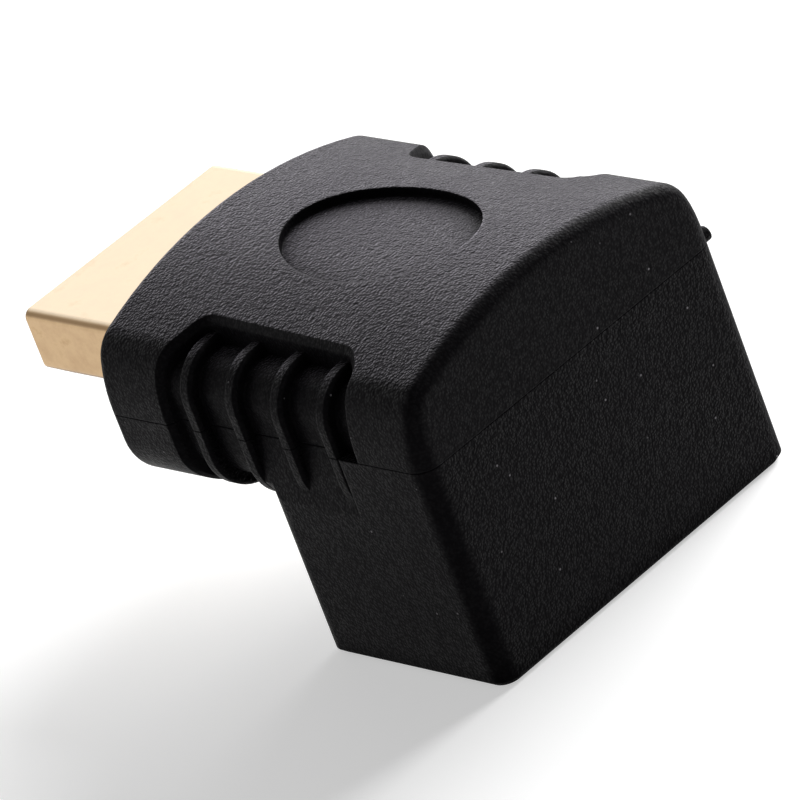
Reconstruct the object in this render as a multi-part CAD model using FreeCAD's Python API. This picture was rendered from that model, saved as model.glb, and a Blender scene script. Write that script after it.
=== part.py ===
import FreeCAD, Part

import math
import os

# Right angle video connector adapter: a male plug at the front, a female socket that faces down,
# and one moulded body round both. Sizes are in millimetres.
# X runs along the plug, from its open end at X = 0 into the body. Z is up and Y is the width.
# The plug's axis is the X axis, and both sides of the plane Y = 0 are alike, but for the gate.

V = FreeCAD.Vector
past = 1.0  # how far a cutting shape reaches past what it cuts
near = 0.01  # how close an edge lies to the plane that picks it
join = 0.0001  # gap that closes where two shapes are fused

# Plug
plug_width = 13.9  # across the wide upper side of its D-shaped shell
plug_height = 4.45
plug_side = 3.1  # height of the upright part of each side
plug_narrow = 10.9  # width of the lower side
plug_wall = 0.3
plug_corner = 0.45
plug_lip = 0.12  # bevel of the shell's open end
plug_buried = 3.3  # how far the shell reaches into the body
plug_window = 1.6  # square holes of the lower side, for the socket's springs
plug_window_x = 3.6
plug_window_spacing = 6.4
plug_face_inset = 0.5  # from the shell's end to its insulator
slot_width = 11.3
slot_height = 1.9
slot_depth = 7.0

# Contacts of the plug and the socket, in two rows half a pitch apart
pin_count = 19
pin_pitch = 1.0  # within a row
pin_width = 0.35
pin_thick = 0.2
plug_pin_height = 1.2  # from the plug's axis to the straight part of a contact
plug_pin_nose = 1.35
plug_pin_nose_x = 0.9  # from the insulator's face to a contact's nose
plug_pin_touch = 0.75  # from the plug's axis to the bump that touches
plug_pin_touch_run = 1.0  # from the nose to the bump
plug_pin_rise_run = 1.2  # from the bump to the straight part
plug_pin_step_run = 0.4  # onto the board
plug_pin_tail = 1.8
pin_channel = 0.5  # width of the groove that a plug contact flexes in
pin_channel_gap = 0.1

# Circuit board
board_thick = 1.0
board_width = 13.6
board_gap = 0.3  # between the plug's insulator and the board
board_side_cover = 0.6  # of inner mould beside the board
board_end_cover = 0.6  # of inner mould behind the board

# Body
body_x = 8.75  # front face, so this much of the plug shows
body_back_x = 30.75
body_half = 10.26  # half the width
crown_z = 5.4  # top of the crowned upper face
crown_radius = 24.5
side_radius = 8.0  # the upper side walls bow in
shoulder_radius = 2.0
bottom_z = -4.4  # underside of the part behind the plug
bottom_radius = 2.8
leg_x = 18.5  # inner face of the leg that holds the socket
socket_z = -12.1  # open end of the socket and of the leg
leg_corner = 1.0  # inner upright corners of the leg
back_corner = 1.1
crown_edge = 0.85
front_edge = 0.5
rim_edge = 0.3  # bevel of the leg's lower rim

# Oval recess of the upper face
oval_length = 11.75
oval_width = 8.0
oval_depth = 0.5
oval_x = 20.2

# Ribbed grip of each side
grip_front_x = 13.1
grip_slant = 1.7  # the front and back walls of the grip slant by this much along X
grip_back_slant = 0.9
grip_back_land = 4.8  # of plain side behind the grip
grip_front_depth = 3.06  # from the body's side to the grip's inner wall
grip_back_depth = 2.61
grip_corner = 1.0
grip_edge = 0.25  # bevel of the grip's rim
grip_top_z = 3.5  # top of the ribs
grip_radius = 2.3
groove_depth = 0.65
rib_width = 0.8
rib_edge = 0.15  # bevel of both its edges
rib_count = 4
rib_front_gap = 1.5  # from the grip's front end to the first rib
rib_back_gap = 1.9  # from the last rib's front to the grip's back end
parting_z = -0.15  # where the two halves of the mould meet
groove_fade = 3.2  # the grooves of the leg run out over this height

# Moulding gate on the far side
gate_radius = 0.38
gate_length = 0.35
gate_inset = 1.0  # from the back face

# Socket
socket_width = 14.0  # inside of its D-shaped shell
socket_height = 4.55
socket_side = 3.15
socket_narrow = 11.0
socket_wall = 0.3
socket_corner = 0.4
socket_seat = 1.3  # between the shell's upper end and the board
tongue_width = 10.9
tongue_thick = 1.5
tongue_inset = 0.8  # from the open end to the tongue
tongue_length = 6.4
socket_pin_proud = 0.05
socket_pin_inset = 0.4  # from the tongue's end to its contacts
socket_pin_tail = 0.5  # past the upper side of the board
spring_width = 1.5
spring_length = 4.6
spring_slit = 0.3
spring_inset = 1.4  # from the open end to the springs
spring_spacing = 6.0
spring_press = 0.25  # how far a spring leans into the socket
tab_width = 1.0
tab_spacing = 9.0

# Inner mould, which holds the board and the joints before the body is moulded
inner_half_height = 2.0
inner_wall = 0.8  # round the socket's shell
inner_drop = 9.0  # from the plug's axis to its lower end
inner_cover = 1.5  # of body behind it

plug_back_x = body_x + plug_buried
slot_half = slot_height / 2
socket_x = (leg_x + body_back_x) / 2
shell_top_z = -board_thick / 2 - socket_seat
tongue_root_z = socket_z + tongue_inset + tongue_length
board_x = plug_back_x + board_gap
inner_back_x = body_back_x - inner_cover
inner_half_width = board_width / 2 + board_side_cover
board_back_x = inner_back_x - board_end_cover
board_half = board_thick / 2
grip_back_x = body_back_x - grip_back_land
grip_inner_front = body_half - grip_front_depth
grip_inner_back = body_half - grip_back_depth
rib_first_x = grip_front_x + rib_front_gap
last_rib_x = grip_back_x - rib_back_gap
rib_pitch = (last_rib_x - rib_first_x) / (rib_count - 1)


def box(x0, x1, y0, y1, z0, z1):
    return Part.makeBox(x1 - x0, y1 - y0, z1 - z0, V(x0, y0, z0))


def prism(points, along):
    return Part.Face(Part.makePolygon(points + points[:1])).extrude(along)


def mirrored(shape):
    return shape.mirror(V(0, 0, 0), V(0, 1, 0))


def long_edges(shape, test):
    """Edges that run mostly along X and whose ends both pass the test."""
    chosen = []
    for edge in shape.Edges:
        first, last = edge.Vertexes[0].Point, edge.Vertexes[-1].Point
        if abs(last.x - first.x) > 0.9 * edge.Length and test(first) and test(last):
            chosen.append(edge)
    return chosen


def finished(shape, kind, sizes):
    """Fillet or Chamfer edges in one step. Each (size, test) picks edges by their middle point."""
    document = FreeCAD.newDocument("finishing", hidden=True)
    base = document.addObject("Part::Feature", "base")
    base.Shape = shape
    finish = document.addObject(f"Part::{kind}", "finish")
    finish.Base = base
    chosen = []
    for number, edge in enumerate(shape.Edges, 1):
        middle = edge.valueAt((edge.FirstParameter + edge.LastParameter) / 2)
        for size, test in sizes:
            if test(edge, middle):
                chosen.append((number, size, size))
                break
    finish.Edges = chosen
    document.recompute()
    result = finish.Shape.copy()
    FreeCAD.closeDocument(document.Name)
    return result


def d_bar(width, height, side, narrow, corner, inset, length):
    """D-shaped bar along +X from X = 0, wide side up, with every wall moved in by inset."""
    drop, run = height - side, (width - narrow) / 2
    slant = math.hypot(drop, run)
    top = height / 2 - inset
    half = width / 2 - inset
    knee = height / 2 - side + inset * (slant - drop) / run
    foot = half - run * (knee + top) / drop
    right = [V(0, half, top), V(0, half, knee), V(0, foot, -top)]
    left = [V(0, -p.y, p.z) for p in reversed(right)]
    bar = prism(right + left, V(length, 0, 0))
    return bar.makeFillet(corner, long_edges(bar, lambda p: True))


def plug_bar(inset, x0, x1):
    corner = max(plug_corner - inset, plug_corner / 3)
    bar = d_bar(plug_width, plug_height, plug_side, plug_narrow, corner, inset, x1 - x0)
    bar.translate(V(x0, 0, 0))
    return bar


def socket_bar(outset, z0, z1):
    """The socket's D-shaped bar, upright, with its wide side towards the back."""
    corner = socket_corner + outset
    bar = d_bar(socket_width, socket_height, socket_side, socket_narrow, corner, -outset, z1 - z0)
    bar.rotate(V(0, 0, 0), V(0, 1, 0), 90)
    bar.translate(V(socket_x, 0, z1))
    return bar


# Body, moulded over everything else

def crossing(y1, z1, r1, y2, z2, r2):
    """Outer crossing of two circles in the YZ plane, of radius r1 and r2."""
    dy, dz = y2 - y1, z2 - z1
    apart = math.hypot(dy, dz)
    along = (r1 * r1 - r2 * r2 + apart * apart) / (2 * apart)
    across = math.sqrt(r1 * r1 - along * along)
    y0, z0 = y1 + along * dy / apart, z1 + along * dz / apart
    return max((y0 + s * across * dz / apart, z0 - s * across * dy / apart) for s in (1, -1))


def toward(start, end, length):
    """Point at this length from start, on the line to end, both as (y, z)."""
    dy, dz = end[0] - start[0], end[1] - start[1]
    share = length / math.hypot(dy, dz)
    return start[0] + share * dy, start[1] + share * dz


def arm():
    """Level part behind the plug: crowned top, bowed upper sides and a flat underside."""
    crown_middle = (0, crown_z - crown_radius)
    side_middle = (body_half - side_radius, 0)
    reach = [crown_radius - shoulder_radius, side_radius - shoulder_radius]
    shoulder = crossing(*crown_middle, reach[0], *side_middle, reach[1])
    crown_end = toward(crown_middle, shoulder, crown_radius)
    side_end = toward(side_middle, shoulder, side_radius)
    turn = math.atan2(side_end[1], side_end[0] - side_middle[0]) / 2
    side_mid = (side_middle[0] + side_radius * math.cos(turn), side_radius * math.sin(turn))
    corner = ((crown_end[0] + side_end[0]) / 2, (crown_end[1] + side_end[1]) / 2)
    shoulder_mid = toward(shoulder, corner, shoulder_radius)
    half = [(body_half, bottom_z), (body_half, 0), side_mid, side_end, shoulder_mid, crown_end]
    right = [V(body_x, y, z) for y, z in half]
    left = [V(body_x, -y, z) for y, z in half]
    curves = [
        Part.LineSegment(left[0], right[0]),
        Part.LineSegment(right[0], right[1]),
        Part.Arc(right[1], right[2], right[3]),
        Part.Arc(right[3], right[4], right[5]),
        Part.Arc(right[5], V(body_x, 0, crown_z), left[5]),
        Part.Arc(left[5], left[4], left[3]),
        Part.Arc(left[3], left[2], left[1]),
        Part.LineSegment(left[1], left[0]),
    ]
    outline = Part.Wire([curve.toShape() for curve in curves])
    block = Part.Face(outline).extrude(V(body_back_x - body_x, 0, 0))
    return block.makeFillet(bottom_radius, long_edges(block, lambda p: p.z < bottom_z + near))


def leg():
    """Upright part round the socket, with its inner corners rounded."""
    block = box(leg_x, body_back_x, -body_half, body_half, socket_z, 0)
    inner = [e for e in block.Edges if e.CenterOfMass.x < leg_x + near and abs(e.CenterOfMass.y) > near]
    return block.makeFillet(leg_corner, inner)


def rib_core(inset, x0, x1):
    """Rounded bar whose surface is the ribs' outer surface, or the grooves' floor with an inset."""
    half, low, top = body_half - inset, bottom_z + inset, grip_top_z - inset
    bar = box(x0, x1, -half, half, low, top)
    bar = bar.makeFillet(grip_radius - inset, long_edges(bar, lambda p: p.z > 0))
    return bar.makeFillet(bottom_radius - inset, long_edges(bar, lambda p: p.z < low + near))


def grip_plan():
    """Upright prism over the far grip."""
    outside = body_half + past
    low = bottom_z - past
    tall = crown_z + past - low
    plan = [
        V(grip_front_x, outside, low),
        V(grip_front_x, body_half - groove_depth / 2, low),
        V(grip_front_x + grip_slant, grip_inner_front, low),
        V(grip_back_x - grip_back_slant, grip_inner_back, low),
        V(grip_back_x, grip_inner_back + grip_back_slant, low),
        V(grip_back_x, outside, low),
    ]
    block = prism(plan, V(0, 0, tall))
    deep = [e for e in block.Edges if e.Length > 0.99 * tall and e.CenterOfMass.y < body_half]
    return block.makeFillet(grip_corner, deep)


def grip_pocket():
    """What is cut away at the far grip, down to the floor of the grooves."""
    reach = body_half + past
    low = bottom_z - past
    front = box(body_x, leg_x, 0, reach, low, crown_z + past)
    back = box(leg_x, body_back_x, 0, reach, parting_z, crown_z + past)
    space = front.fuse(back).common(grip_plan())
    return space.cut(rib_core(groove_depth, body_x, body_back_x))


def run_out():
    """Wedge by which the grooves of the leg fade out downwards."""
    inner, outer = body_half - groove_depth, body_half + past
    low = parting_z - groove_fade * (groove_depth + past) / groove_depth
    corners = [V(leg_x, inner, parting_z), V(leg_x, outer, parting_z), V(leg_x, outer, low)]
    return prism(corners, V(last_rib_x + rib_width - leg_x, 0, 0))


def rib(x):
    """One rib of the far grip, with both its edges broken."""
    slab = rib_core(0, x, x + rib_width)
    outline = [e for e in slab.Edges if abs(e.BoundBox.XLength) < near]
    slab = slab.makeChamfer(rib_edge, outline)
    low = bottom_z - past if x < leg_x else parting_z - groove_fade - past
    return slab.common(box(x, x + rib_width, grip_inner_front - past, body_half + past, low, crown_z))


def oval_cut():
    """Oval recess whose floor follows the crown."""
    rim = Part.Ellipse(V(oval_x, 0, 0), oval_length / 2, oval_width / 2).toShape()
    column = Part.Face(Part.Wire([rim])).extrude(V(0, 0, crown_z + past))
    start = V(oval_x - oval_length, 0, crown_z - crown_radius)
    under = Part.makeCylinder(crown_radius - oval_depth, 2 * oval_length, start, V(1, 0, 0))
    return column.cut(under)


def inner_block():
    """Outside of the inner mould."""
    half, tall = inner_half_width, inner_half_height
    level = box(plug_back_x, inner_back_x, -half, half, -tall, tall)
    upright = socket_bar(socket_wall + inner_wall, -inner_drop, 0)
    return level.fuse(upright).removeSplitter()


def gate():
    start = V(body_back_x - gate_inset, body_half - past, parting_z)
    return Part.makeCylinder(gate_radius, gate_length + past, start, V(0, 1, 0))


def overmould():
    body = arm().fuse(leg()).removeSplitter()

    def upright_back(edge, p):
        return p.x > body_back_x - near and p.z < -near and abs(p.y) > body_half - near

    def crowned_back(edge, p):
        return p.x > body_back_x - near and p.z > 0

    def leg_end(edge, p):
        return p.z < socket_z + near

    body = finished(body, "Fillet", [(back_corner, upright_back), (crown_edge, crowned_back)])
    body = finished(body, "Fillet", [(front_edge, lambda edge, p: p.x < body_x + near)])
    body = finished(body, "Chamfer", [(rim_edge, leg_end)])
    pocket = grip_pocket()
    body = body.cut([pocket, mirrored(pocket)])

    def grip_rim(edge, p):
        inside = grip_front_x < p.x < grip_back_x and abs(p.y) > grip_inner_front - near
        return inside and p.z > grip_top_z and edge.BoundBox.ZLength < edge.Length / 2

    body = finished(body, "Chamfer", [(grip_edge, grip_rim)])
    wedge = run_out()
    body = body.cut([wedge, mirrored(wedge), oval_cut()])
    ribs = [rib(rib_first_x + i * rib_pitch) for i in range(rib_count)]
    body = body.fuse(ribs + [mirrored(one) for one in ribs] + [gate()], join).removeSplitter()
    hollows = [plug_bar(0, body_x - past, plug_back_x), inner_block()]
    hollows.append(socket_bar(socket_wall, socket_z - past, -inner_half_height))
    return body.cut(hollows)


# Plug

def plug_shell():
    """Folded and plated sheet, with its open end bevelled and two square holes below."""
    outer = plug_bar(0, 0, plug_back_x)
    lip = [e for e in outer.Edges if e.CenterOfMass.x < near]
    shell = outer.makeChamfer(plug_lip, lip).cut(plug_bar(plug_wall, -past, plug_back_x + past))
    half = plug_window / 2
    x0, x1 = plug_window_x - half, plug_window_x + half
    for y in (-plug_window_spacing / 2, plug_window_spacing / 2):
        shell = shell.cut(box(x0, x1, y - half, y + half, -plug_height, 0))
    return shell


def plug_contact(y, side):
    """Formed strip: nose, bump that touches, straight run, step down to the board, and tail."""
    tail_z = board_half + pin_thick / 2
    nose_x = plug_face_inset + plug_pin_nose_x
    touch_x = nose_x + plug_pin_touch_run
    tail_x = board_x + plug_pin_step_run
    path = [
        (nose_x, plug_pin_nose),
        (touch_x, plug_pin_touch),
        (touch_x + plug_pin_rise_run, plug_pin_height),
        (plug_back_x, plug_pin_height),
        (tail_x, tail_z),
        (tail_x + plug_pin_tail, tail_z),
    ]
    upper = [V(x, y - pin_width / 2, side * (z + pin_thick / 2)) for x, z in path]
    lower = [V(x, y - pin_width / 2, side * (z - pin_thick / 2)) for x, z in reversed(path)]
    return prism(upper + lower, V(0, pin_width, 0))


def plug_insulator(contacts):
    block = plug_bar(plug_wall, plug_face_inset, plug_back_x)
    slot_end = plug_face_inset + slot_depth
    cuts = [box(0, slot_end, -slot_width / 2, slot_width / 2, -slot_half, slot_half)]
    reach = plug_pin_nose + pin_thick / 2 + pin_channel_gap
    for y, side in pin_places():
        low, high = sorted((0, side * reach))
        cuts.append(box(0, slot_end, y - pin_channel / 2, y + pin_channel / 2, low, high))
    return block.cut(cuts + contacts)


def pin_places():
    """Y of each contact, and 1 for the row at the wide side or -1 for the other."""
    middle = (pin_count + 1) / 2
    return [((k - middle) * pin_pitch / 2, 1 if k % 2 else -1) for k in range(1, pin_count + 1)]


# Socket

def socket_spring(side):
    """Leaning spring of the shell's wall, at the wide side (1) or the narrow side (-1)."""
    z0 = socket_z + spring_inset
    z1 = z0 + spring_length
    wall_x = socket_height / 2
    bend_z = z0 + spring_length / 4
    path = [(wall_x, z0), (wall_x - spring_press, bend_z), (wall_x, z1), (wall_x, z1 + spring_width)]
    inner = [V(socket_x + side * x, -spring_width / 2, z) for x, z in path]
    outer = [V(p.x + side * socket_wall, p.y, p.z) for p in reversed(inner)]
    return prism(inner + outer, V(0, spring_width, 0))


def socket_tabs():
    """Four tabs of the shell, through the board."""
    tabs = []
    z0, z1 = shell_top_z - tab_width, board_half + socket_pin_tail
    for side in (-1, 1):
        x0, x1 = sorted(socket_x + side * x for x in (socket_height / 2, socket_height / 2 + socket_wall))
        for y in (-tab_spacing / 2, tab_spacing / 2):
            tabs.append(box(x0, x1, y - tab_width / 2, y + tab_width / 2, z0, z1))
    return tabs


def socket_shell():
    shell = socket_bar(socket_wall, socket_z, shell_top_z)
    shell = shell.cut(socket_bar(0, socket_z - past, shell_top_z + past))
    z0 = socket_z + spring_inset - spring_slit
    z1 = socket_z + spring_inset + spring_length
    half = spring_width / 2 + spring_slit
    for side in (-1, 1):
        spring = socket_spring(side)
        x0, x1 = sorted((socket_x, socket_x + side * socket_height))
        for y in (-spring_spacing / 2, spring_spacing / 2):
            shell = shell.cut(box(x0, x1, y - half, y + half, z0, z1))
            placed = spring.copy()
            placed.translate(V(0, y, 0))
            shell = shell.fuse(placed)
    return shell.fuse(socket_tabs()).removeSplitter()


def socket_contact(y, side):
    """Flat strip on the tongue, straight up through the base and the board."""
    surface = tongue_thick / 2 + socket_pin_proud
    x0, x1 = sorted(socket_x + side * x for x in (surface - pin_thick, surface))
    z0 = socket_z + tongue_inset + socket_pin_inset
    return box(x0, x1, y - pin_width / 2, y + pin_width / 2, z0, board_half + socket_pin_tail)


def socket_insulator(contacts):
    """Base that closes the shell, seat for the board, and the tongue with its contacts."""
    base = socket_bar(0, tongue_root_z, shell_top_z)
    seat_x, seat_y = socket_height / 2 - socket_wall, socket_narrow / 2
    seat = box(socket_x - seat_x, socket_x + seat_x, -seat_y, seat_y, shell_top_z, -board_half)
    half_x, half_y = tongue_thick / 2, tongue_width / 2
    tip_z = socket_z + tongue_inset
    tongue = box(socket_x - half_x, socket_x + half_x, -half_y, half_y, tip_z, tongue_root_z)
    tip = [e for e in tongue.Edges if e.CenterOfMass.z < tip_z + near]
    tongue = tongue.makeChamfer(socket_pin_inset / 2, tip)
    return base.fuse([seat, tongue]).removeSplitter().cut(contacts)


# Board and inner mould

def circuit_board(through):
    half = board_width / 2
    return box(board_x, board_back_x, -half, half, -board_half, board_half).cut(through)


def inner_mould(inside):
    space = socket_bar(socket_wall, -inner_drop - past, shell_top_z)
    return inner_block().cut([space] + inside)


plug_contacts = [plug_contact(y, side) for y, side in pin_places()]
socket_contacts = [socket_contact(y, side) for y, side in pin_places()]
tabs = socket_tabs()
board = circuit_board(socket_contacts + tabs)
socket_body = socket_insulator(socket_contacts)

nodes = {
    "overmould": overmould(),
    "plug_shell": plug_shell(),
    "plug_insulator": plug_insulator(plug_contacts),
    "circuit_board": board,
    "socket_shell": socket_shell(),
    "socket_insulator": socket_body,
    "inner_mould": inner_mould([board, socket_body] + plug_contacts + socket_contacts + tabs),
}
for k, contact in enumerate(plug_contacts, 1):
    nodes[f"plug_contact_{k:02d}"] = contact
for k, contact in enumerate(socket_contacts, 1):
    nodes[f"socket_contact_{k:02d}"] = contact

os.makedirs("parts", exist_ok=True)
for name, shape in nodes.items():
    shape.exportStep(f"parts/{name}.step")
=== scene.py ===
import math

import bpy
from mathutils import Matrix, Vector


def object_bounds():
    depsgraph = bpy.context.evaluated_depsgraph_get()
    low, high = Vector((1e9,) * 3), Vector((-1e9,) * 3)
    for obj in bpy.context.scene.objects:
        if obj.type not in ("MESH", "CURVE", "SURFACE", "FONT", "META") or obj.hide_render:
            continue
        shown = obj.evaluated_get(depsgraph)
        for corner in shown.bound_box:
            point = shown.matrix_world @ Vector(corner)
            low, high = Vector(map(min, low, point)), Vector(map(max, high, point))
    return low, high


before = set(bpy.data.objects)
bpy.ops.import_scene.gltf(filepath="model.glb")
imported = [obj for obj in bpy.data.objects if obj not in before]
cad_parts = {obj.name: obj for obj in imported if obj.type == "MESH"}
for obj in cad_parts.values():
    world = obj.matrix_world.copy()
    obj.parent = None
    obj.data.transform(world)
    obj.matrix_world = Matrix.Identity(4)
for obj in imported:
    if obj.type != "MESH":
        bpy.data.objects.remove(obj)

cad_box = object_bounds()
bpy.ops.object.select_all(action="DESELECT")


# Body. One moulding of soft black PVC, shot round the plug, the board and the socket in a steel
# mould. The mould was spark eroded, so its skin has a fine pebbled grain with a dull sheen, and a
# thin line runs round it where the two halves of the mould met.

def linear(hex_colour):
    """Linear RGBA of an sRGB colour such as #1b1a1d."""
    parts = [int(hex_colour[i:i + 2], 16) / 255 for i in (1, 3, 5)]
    return [c / 12.92 if c <= 0.04045 else ((c + 0.055) / 1.055) ** 2.4 for c in parts] + [1]


def add_node(tree, kind, links={}, stops=(), **settings):
    """Add a node, set its own settings and colour stops, and fill its sockets."""
    node = tree.nodes.new(kind)
    for name, value in settings.items():
        setattr(node, name, value)
    for number, (position, colour) in enumerate(stops):
        if number > 1:
            node.color_ramp.elements.new(position)
        node.color_ramp.elements[number].position = position
        node.color_ramp.elements[number].color = linear(colour)
    for name, value in links.items():
        if isinstance(value, bpy.types.NodeSocket):
            tree.links.new(value, node.inputs[name])
        else:
            node.inputs[name].default_value = value
    return node


def new_material(name):
    """Empty material, its node tree, and the place in millimetres in the part's frame."""
    material = bpy.data.materials.new(name)
    material.use_nodes = True
    tree = material.node_tree
    tree.nodes.clear()
    metres = add_node(tree, "ShaderNodeTexCoord").outputs["Object"]
    place = add_node(tree, "ShaderNodeVectorMath", {0: metres, "Scale": 1000}, operation="SCALE")
    return material, tree, place.outputs[0]


pebble_mm = 0.14  # from one pebble of the grain to the next
cloud_mm = 4.0  # across a patch of slightly different black
speck_mm = 1.18  # from one speck of dust to the next
parting_mm = -0.15  # height of the parting line
parting_half_mm = 0.06  # half the width of its crease
grain_depth = 0.00006
crease_depth = 0.00004
edge_radius = 0.0002
shade_reach = 0.0014  # how near another wall shelters the skin

pvc, tree, place = new_material("spark_eroded_soft_pvc")

# Colour: near black and a little uneven, with specks of dust
clouds = add_node(tree, "ShaderNodeTexNoise", {"Vector": place, "Scale": 1 / cloud_mm, "Detail": 3.0})
plastic = add_node(tree, "ShaderNodeValToRGB", {"Fac": clouds.outputs["Fac"]},
                   [(0.3, "#0b0a0c"), (0.7, "#100f11")])
dust = add_node(tree, "ShaderNodeTexVoronoi", {"Vector": place, "Scale": 1 / speck_mm, "Randomness": 1.0})
speck = add_node(tree, "ShaderNodeMapRange",
                 {"Value": dust.outputs["Distance"], "From Min": 0.03, "From Max": 0.06,
                  "To Min": 1, "To Max": 0})
colour = add_node(tree, "ShaderNodeMix",
                  {"Factor": speck.outputs[0], 6: plastic.outputs[0], 7: linear("#858286")},
                  data_type="RGBA")
dull = add_node(tree, "ShaderNodeMapRange",
                {"Value": clouds.outputs["Fac"], "From Min": 0.3, "From Max": 0.7,
                 "To Min": 0.4, "To Max": 0.5})

# Relief of the grain: domed pebbles set askew, on a low swell
askew = add_node(tree, "ShaderNodeTexNoise", {"Vector": place, "Scale": 0.5 / pebble_mm, "Detail": 1.0})
moved = add_node(tree, "ShaderNodeVectorMath",
                 {0: askew.outputs["Color"], 1: (pebble_mm, pebble_mm, pebble_mm), 2: place},
                 operation="MULTIPLY_ADD")
pebbles = add_node(tree, "ShaderNodeTexVoronoi",
                   {"Vector": moved.outputs[0], "Scale": 1 / pebble_mm, "Smoothness": 0.5},
                   feature="SMOOTH_F1")
swell = add_node(tree, "ShaderNodeTexNoise", {"Vector": place, "Scale": 0.4 / pebble_mm, "Detail": 3.0})
relief = add_node(tree, "ShaderNodeMath", {0: swell.outputs["Fac"], 1: pebbles.outputs["Distance"]},
                  operation="SUBTRACT")

# Depth of the grain: rubbed smooth on the edges that turn towards the front or the back, shallow
# on the side walls so that they leave the mould, and fine on the back above the parting line
height = add_node(tree, "ShaderNodeSeparateXYZ", {0: place}).outputs["Z"]
normal = add_node(tree, "ShaderNodeTexCoord").outputs["Normal"]
facing = add_node(tree, "ShaderNodeSeparateXYZ", {0: normal})
along = add_node(tree, "ShaderNodeMath", {0: facing.outputs["X"], 1: 2}, operation="POWER")
across = add_node(tree, "ShaderNodeMath", {0: 1, 1: along.outputs[0]}, operation="SUBTRACT")
edge = add_node(tree, "ShaderNodeMath", {0: along.outputs[0], 1: across.outputs[0]},
                operation="MULTIPLY")
smooth = add_node(tree, "ShaderNodeMapRange",
                  {"Value": edge.outputs[0], "From Min": 0.02, "From Max": 0.16,
                   "To Min": 1, "To Max": 0.3})
wall = add_node(tree, "ShaderNodeMath", {0: facing.outputs["Y"], 1: 2}, operation="POWER")
shallow = add_node(tree, "ShaderNodeMapRange",
                   {"Value": wall.outputs[0], "From Min": 0.2, "From Max": 0.8,
                    "To Min": 1, "To Max": 0.4})
upper = add_node(tree, "ShaderNodeMath", {0: height, 1: parting_mm}, operation="GREATER_THAN")
back = add_node(tree, "ShaderNodeMapRange",
                {"Value": facing.outputs["X"], "From Min": 0.9, "From Max": 0.97,
                 "To Min": 0, "To Max": 0.55})
fine = add_node(tree, "ShaderNodeMath", {0: upper.outputs[0], 1: back.outputs[0]},
                operation="MULTIPLY")
coarse = add_node(tree, "ShaderNodeMath", {0: 1, 1: fine.outputs[0]}, operation="SUBTRACT")
worn = add_node(tree, "ShaderNodeMath", {0: smooth.outputs[0], 1: shallow.outputs[0]},
                operation="MULTIPLY")
depth = add_node(tree, "ShaderNodeMath", {0: worn.outputs[0], 1: coarse.outputs[0]},
                 operation="MULTIPLY")
eased = add_node(tree, "ShaderNodeBevel", {"Radius": edge_radius}, samples=6)
grain = add_node(tree, "ShaderNodeBump",
                 {"Height": relief.outputs[0], "Strength": depth.outputs[0], "Distance": grain_depth,
                  "Normal": eased.outputs[0]})

# Parting line: a fine crease at one height
above = add_node(tree, "ShaderNodeMath", {0: height, 1: parting_mm}, operation="SUBTRACT")
beside = add_node(tree, "ShaderNodeMath", {0: above.outputs[0]}, operation="ABSOLUTE")
crease = add_node(tree, "ShaderNodeMapRange",
                  {"Value": beside.outputs[0], "From Min": 0, "From Max": parting_half_mm,
                   "To Min": 1, "To Max": 0})
skin = add_node(tree, "ShaderNodeBump",
                {"Height": crease.outputs[0], "Strength": 1.0, "Distance": crease_depth,
                 "Normal": grain.outputs[0]}, invert=True)

# Shine, darkened by painted shade: less in the pits of the grain, in hollows, on slanted edges and in the
# crease
# painted shade: less shine in the pits of the grain
pit_shade = add_node(tree, "ShaderNodeMapRange",
                {"Value": relief.outputs[0], "From Min": -0.1, "From Max": 0.3,
                 "To Min": 0.17, "To Max": 0.36})
# painted shade: shine falls where another wall stands near, in grooves and hollows
crevice_shade = add_node(tree, "ShaderNodeAmbientOcclusion", {"Distance": shade_reach}, samples=8)
shade_ao = add_node(tree, "ShaderNodeMath", {0: crevice_shade.outputs["AO"], 1: 1.5}, operation="POWER")
# painted shade: less shine on the slants that turn towards the front or the back
edge_shade = add_node(tree, "ShaderNodeMapRange",
                {"Value": edge.outputs[0], "From Min": 0.02, "From Max": 0.16,
                 "To Min": 1, "To Max": 0.45})
shaded_shine = add_node(tree, "ShaderNodeMath", {0: pit_shade.outputs[0], 1: shade_ao.outputs[0]},
                      operation="MULTIPLY")
edge_shaded_shine = add_node(tree, "ShaderNodeMath", {0: shaded_shine.outputs[0], 1: edge_shade.outputs[0]},
                      operation="MULTIPLY")
# painted shade: no shine in the crease of the parting line
crease_shade = add_node(tree, "ShaderNodeMath", {0: 1, 1: crease.outputs[0]}, operation="SUBTRACT")
shine = add_node(tree, "ShaderNodeMath", {0: edge_shaded_shine.outputs[0], 1: crease_shade.outputs[0]},
                 operation="MULTIPLY")

# Fine dust lies as a haze on what faces up, and a painted sheen brightens the top; both are less in
# hollows
level = add_node(tree, "ShaderNodeMapRange",
                 {"Value": facing.outputs["Z"], "From Min": 0.82, "From Max": 1,
                  "To Min": 0, "To Max": 0.75})
dust_and_sheen = add_node(tree, "ShaderNodeMath", {0: shade_ao.outputs[0], 1: level.outputs[0]},
                operation="MULTIPLY")
shader = add_node(tree, "ShaderNodeBsdfPrincipled",
                  {"Base Color": colour.outputs[2], "Roughness": dull.outputs[0], "IOR": 1.2,
                   "Specular IOR Level": shine.outputs[0], "Sheen Weight": dust_and_sheen.outputs[0],
                   "Sheen Roughness": 0.4, "Sheen Tint": linear("#d8d2de"),
                   "Normal": skin.outputs[0]})
add_node(tree, "ShaderNodeOutputMaterial", {"Surface": shader.outputs[0]})
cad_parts["overmould"].material_slots[0].material = pvc


# Shells of the plug and the socket. Thin steel sheet folded into a D-shaped tube, then plated with
# a pale gold flash. The plating is satin and a little mottled, with faint rubbing marks along the
# plug. Painted brown shade lies on its rounded corners, and its broad faces are painted paler as a
# highlight.

mottle_mm = 1.43  # across a patch of the plating
rub_mm = 0.08  # between rubbing marks
rub_length = 12.5  # times longer than wide
rub_depth = 0.000004
fold_radius = 0.0001

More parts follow.
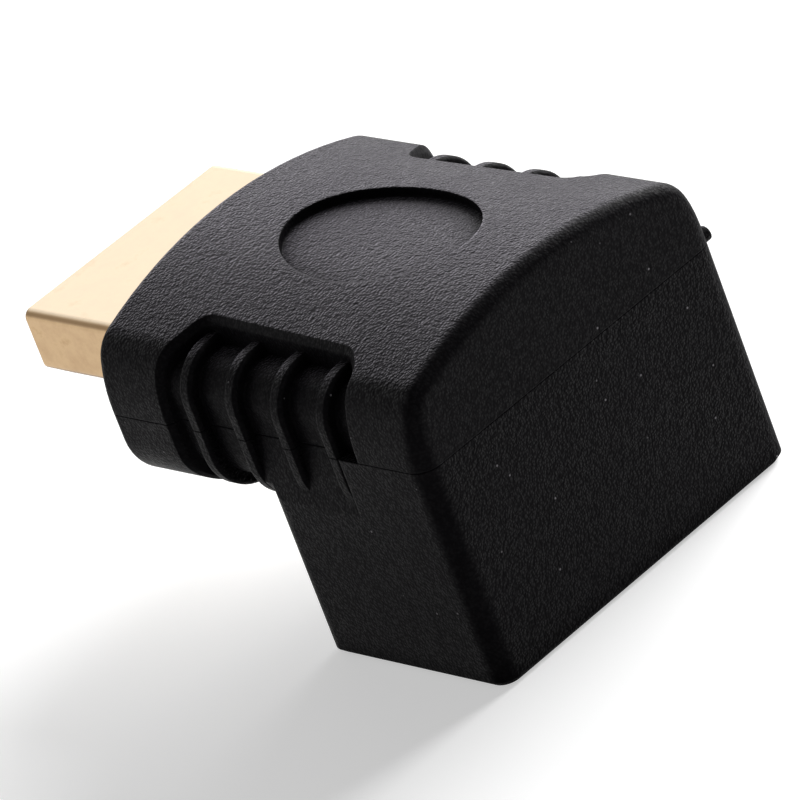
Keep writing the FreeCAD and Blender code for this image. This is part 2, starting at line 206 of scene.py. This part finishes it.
gold, tree, place = new_material("pale_gold_flash_on_steel")
mottle = add_node(tree, "ShaderNodeTexNoise",
                  {"Vector": place, "Scale": 1 / mottle_mm, "Detail": 6.0, "Roughness": 0.7})
plated = add_node(tree, "ShaderNodeValToRGB", {"Fac": mottle.outputs["Fac"]},
                  [(0.3, "#b89a76"), (0.55, "#caae89"), (0.75, "#b2946c")])
satin = add_node(tree, "ShaderNodeMapRange",
                 {"Value": mottle.outputs["Fac"], "From Min": 0.3, "From Max": 0.7,
                  "To Min": 0.46, "To Max": 0.58})
normal = add_node(tree, "ShaderNodeTexCoord").outputs["Normal"]
facing = add_node(tree, "ShaderNodeSeparateXYZ", {0: normal})
slant = add_node(tree, "ShaderNodeMath", {0: facing.outputs["Y"], 1: facing.outputs["Z"]},
                 operation="MULTIPLY")
fold = add_node(tree, "ShaderNodeMath", {0: slant.outputs[0], 1: 2}, operation="POWER")
# painted shade: brown on the rounded corners between the faces
corner_shade = add_node(tree, "ShaderNodeMapRange",
                 {"Value": fold.outputs[0], "From Min": 0.12, "From Max": 0.24,
                  "To Min": 0, "To Max": 0.8})
broad = add_node(tree, "ShaderNodeMath", {0: facing.outputs["Z"], 1: 2}, operation="POWER")
# painted highlight: the broad faces turn paler and greyer
broad_highlight = add_node(tree, "ShaderNodeMapRange",
                {"Value": broad.outputs[0], "From Min": 0.6, "From Max": 0.95,
                 "To Min": 0, "To Max": 0.6})
highlighted = add_node(tree, "ShaderNodeMix",
                   {"Factor": broad_highlight.outputs[0], 6: plated.outputs[0], 7: linear("#bdb5a6")},
                   data_type="RGBA")
colour = add_node(tree, "ShaderNodeMix",
                  {"Factor": corner_shade.outputs[0], 6: highlighted.outputs[2], 7: linear("#7a6246")},
                  data_type="RGBA")
stretched = add_node(tree, "ShaderNodeMapping", {"Vector": place, "Scale": (1 / rub_length, 1, 1)})
rubbed = add_node(tree, "ShaderNodeTexNoise",
                  {"Vector": stretched.outputs[0], "Scale": 1 / rub_mm, "Detail": 2.0})
folded = add_node(tree, "ShaderNodeBevel", {"Radius": fold_radius}, samples=6)
marks = add_node(tree, "ShaderNodeBump",
                 {"Height": rubbed.outputs["Fac"], "Strength": 0.25, "Distance": rub_depth,
                  "Normal": folded.outputs[0]})
shader = add_node(tree, "ShaderNodeBsdfPrincipled",
                  {"Base Color": colour.outputs[2], "Metallic": 1.0, "Roughness": satin.outputs[0],
                   "Normal": marks.outputs[0]})
add_node(tree, "ShaderNodeOutputMaterial", {"Surface": shader.outputs[0]})
for name in ("plug_shell", "socket_shell"):
    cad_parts[name].material_slots[0].material = gold


# Insulators of the plug and the socket. Black glass-filled LCP, moulded to thin walls. It is dull,
# with faint flow marks and short fibres in its skin.

flow_mm = 0.714  # across a flow mark
fibre_mm = 0.111  # between fibres

lcp, tree, place = new_material("black_glass_filled_lcp")
flow = add_node(tree, "ShaderNodeTexNoise",
                {"Vector": place, "Scale": 1 / flow_mm, "Detail": 5.0, "Distortion": 1.2})
shade = add_node(tree, "ShaderNodeValToRGB", {"Fac": flow.outputs["Fac"]},
                 [(0.35, "#141416"), (0.65, "#232326")])
fibres = add_node(tree, "ShaderNodeTexNoise", {"Vector": place, "Scale": 1 / fibre_mm, "Detail": 2.0})
skin = add_node(tree, "ShaderNodeBump",
                {"Height": fibres.outputs["Fac"], "Strength": 0.4, "Distance": 0.00001})
shader = add_node(tree, "ShaderNodeBsdfPrincipled",
                  {"Base Color": shade.outputs[0], "Roughness": 0.5, "Normal": skin.outputs[0]})
add_node(tree, "ShaderNodeOutputMaterial", {"Surface": shader.outputs[0]})
for name in ("plug_insulator", "socket_insulator"):
    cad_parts[name].material_slots[0].material = lcp


# Contacts. Phosphor bronze strip, stamped and formed, with bright gold plating. The plating is
# thin, so its tone and polish vary a little.

wear_mm = 0.455  # across a patch of different polish

bright_gold, tree, place = new_material("gold_plated_phosphor_bronze")
wear = add_node(tree, "ShaderNodeTexNoise", {"Vector": place, "Scale": 1 / wear_mm, "Detail": 3.0})
tone = add_node(tree, "ShaderNodeValToRGB", {"Fac": wear.outputs["Fac"]},
                [(0.35, "#e6bd68"), (0.7, "#f0cf88")])
polish = add_node(tree, "ShaderNodeMapRange",
                  {"Value": wear.outputs["Fac"], "From Min": 0.3, "From Max": 0.7,
                   "To Min": 0.16, "To Max": 0.28})
shader = add_node(tree, "ShaderNodeBsdfPrincipled",
                  {"Base Color": tone.outputs[0], "Metallic": 1.0, "Roughness": polish.outputs[0]})
add_node(tree, "ShaderNodeOutputMaterial", {"Surface": shader.outputs[0]})
for name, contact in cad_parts.items():
    if "contact" in name:
        contact.material_slots[0].material = bright_gold


# Circuit board. Woven glass and epoxy laminate under green solder mask. The weave shows faintly
# through the mask.

thread_mm = 0.196  # from thread to thread of the glass cloth
thread_scale = math.pi / 10 / thread_mm  # a wave texture of scale 1 repeats after pi / 10

mask, tree, place = new_material("green_solder_mask_on_glass_laminate")
warp = add_node(tree, "ShaderNodeTexWave", {"Vector": place, "Scale": thread_scale, "Distortion": 0.3},
                bands_direction="X")
weft = add_node(tree, "ShaderNodeTexWave", {"Vector": place, "Scale": thread_scale, "Distortion": 0.3},
                bands_direction="Y")
cloth = add_node(tree, "ShaderNodeMath", {0: warp.outputs["Fac"], 1: weft.outputs["Fac"]},
                 operation="MULTIPLY")
green = add_node(tree, "ShaderNodeValToRGB", {"Fac": cloth.outputs[0]},
                 [(0.0, "#0c3a20"), (1.0, "#14522e")])
shader = add_node(tree, "ShaderNodeBsdfPrincipled", {"Base Color": green.outputs[0], "Roughness": 0.32})
add_node(tree, "ShaderNodeOutputMaterial", {"Surface": shader.outputs[0]})
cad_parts["circuit_board"].material_slots[0].material = mask


# Inner mould. Natural plastic, moulded hot round the board and the joints before the body is. It
# is waxy and a little cloudy.

milk_mm = 2.0  # across a cloudy patch

wax, tree, place = new_material("natural_hot_moulded_plastic")
cloudy = add_node(tree, "ShaderNodeTexNoise", {"Vector": place, "Scale": 1 / milk_mm, "Detail": 4.0})
milk = add_node(tree, "ShaderNodeValToRGB", {"Fac": cloudy.outputs["Fac"]},
                [(0.3, "#d8d5c8"), (0.7, "#e6e3d8")])
shader = add_node(tree, "ShaderNodeBsdfPrincipled", {"Base Color": milk.outputs[0], "Roughness": 0.45})
add_node(tree, "ShaderNodeOutputMaterial", {"Surface": shader.outputs[0]})
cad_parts["inner_mould"].material_slots[0].material = wax


# Studio. A pale card floor under the leg and a white surround. A wide soft box stands low beyond
# the plug, and a stronger one stands higher beyond the far side.

floor_z = cad_box[0][2] - 0.00002  # a hair below the leg's end


def seen(tree):
    """1 for what the camera sees, straight or mirrored or through a clear piece, and 0 otherwise."""
    rays = add_node(tree, "ShaderNodeLightPath")
    mirrored = add_node(tree, "ShaderNodeMath",
                        {0: rays.outputs["Is Glossy Ray"], 1: rays.outputs["Is Transmission Ray"]},
                        operation="MAXIMUM")
    shown = add_node(tree, "ShaderNodeMath",
                     {0: rays.outputs["Is Camera Ray"], 1: mirrored.outputs[0]}, operation="MAXIMUM")
    return shown.outputs[0]


bpy.ops.mesh.primitive_plane_add(size=4, location=(0.02, 0, floor_z))
floor = bpy.context.object
floor.name = "floor"
card = bpy.data.materials.new("white_card")
card.use_nodes = True
tree = card.node_tree
tree.nodes.clear()
diffuse = add_node(tree, "ShaderNodeBsdfDiffuse", {"Color": linear("#e4e4e4")})
glow = add_node(tree, "ShaderNodeEmission", {"Color": linear("#ffffff"), "Strength": 0.5})
lifted = add_node(tree, "ShaderNodeAddShader", {0: diffuse.outputs[0], 1: glow.outputs[0]})
surface = add_node(tree, "ShaderNodeMixShader",
                   {0: seen(tree), 1: diffuse.outputs[0], 2: lifted.outputs[0]})
add_node(tree, "ShaderNodeOutputMaterial", {"Surface": surface.outputs[0]})
floor.data.materials.append(card)

world = bpy.data.worlds.new("white_surround")
bpy.context.scene.world = world
world.use_nodes = True
tree = world.node_tree
tree.nodes.clear()
dim = add_node(tree, "ShaderNodeBackground", {"Color": linear("#ffffff"), "Strength": 0.08})
white = add_node(tree, "ShaderNodeBackground", {"Color": linear("#ffffff"), "Strength": 1.0})
surround = add_node(tree, "ShaderNodeMixShader",
                    {0: seen(tree), 1: dim.outputs[0], 2: white.outputs[0]})
add_node(tree, "ShaderNodeOutputWorld", {"Surface": surround.outputs[0]})

middle = Vector((0.0165, 0, -0.002))  # of the part, where the lamps point


def soft_box(name, direction, distance, size, level):
    """Square area lamp that faces the part from that direction, and whose face shines at that level."""
    lamp = bpy.data.lights.new(name, "AREA")
    lamp.shape = "SQUARE"
    lamp.size = size
    lamp.energy = level * math.pi * size * size
    holder = bpy.data.objects.new(name, lamp)
    bpy.context.scene.collection.objects.link(holder)
    towards = Vector(direction).normalized()
    turned = towards.to_track_quat("Z", "Y").to_matrix().to_4x4()
    holder.matrix_world = Matrix.Translation(middle + towards * distance) @ turned


soft_box("rear_box", direction=(-0.72, 0.52, 0.33), distance=1.0, size=0.75, level=1.3)
soft_box("far_box", direction=(-0.1, 1, 0.5), distance=1.1, size=0.8, level=12.0)


# Camera. A long lens from behind and above the leg, rolled by about 21 degrees, so that the leg
# slants and the plug points away to the left.

ahead = Vector((-0.72376712, 0.5238175, -0.44919526)).normalized()
up = Vector((-0.12924999, 0.53653518, 0.83392112))
right = ahead.cross(up).normalized()
up = right.cross(ahead)
camera = bpy.data.objects.new("camera", bpy.data.cameras.new("camera"))
bpy.context.scene.collection.objects.link(camera)
camera.data.lens = 367.27
camera.data.clip_end = 10
turn = Matrix((right, up, -ahead)).transposed().to_4x4()
camera.matrix_world = Matrix.Translation((0.297568, -0.203168, 0.169513)) @ turn
bpy.context.scene.camera = camera
bpy.context.scene.view_settings.view_transform = "Standard"
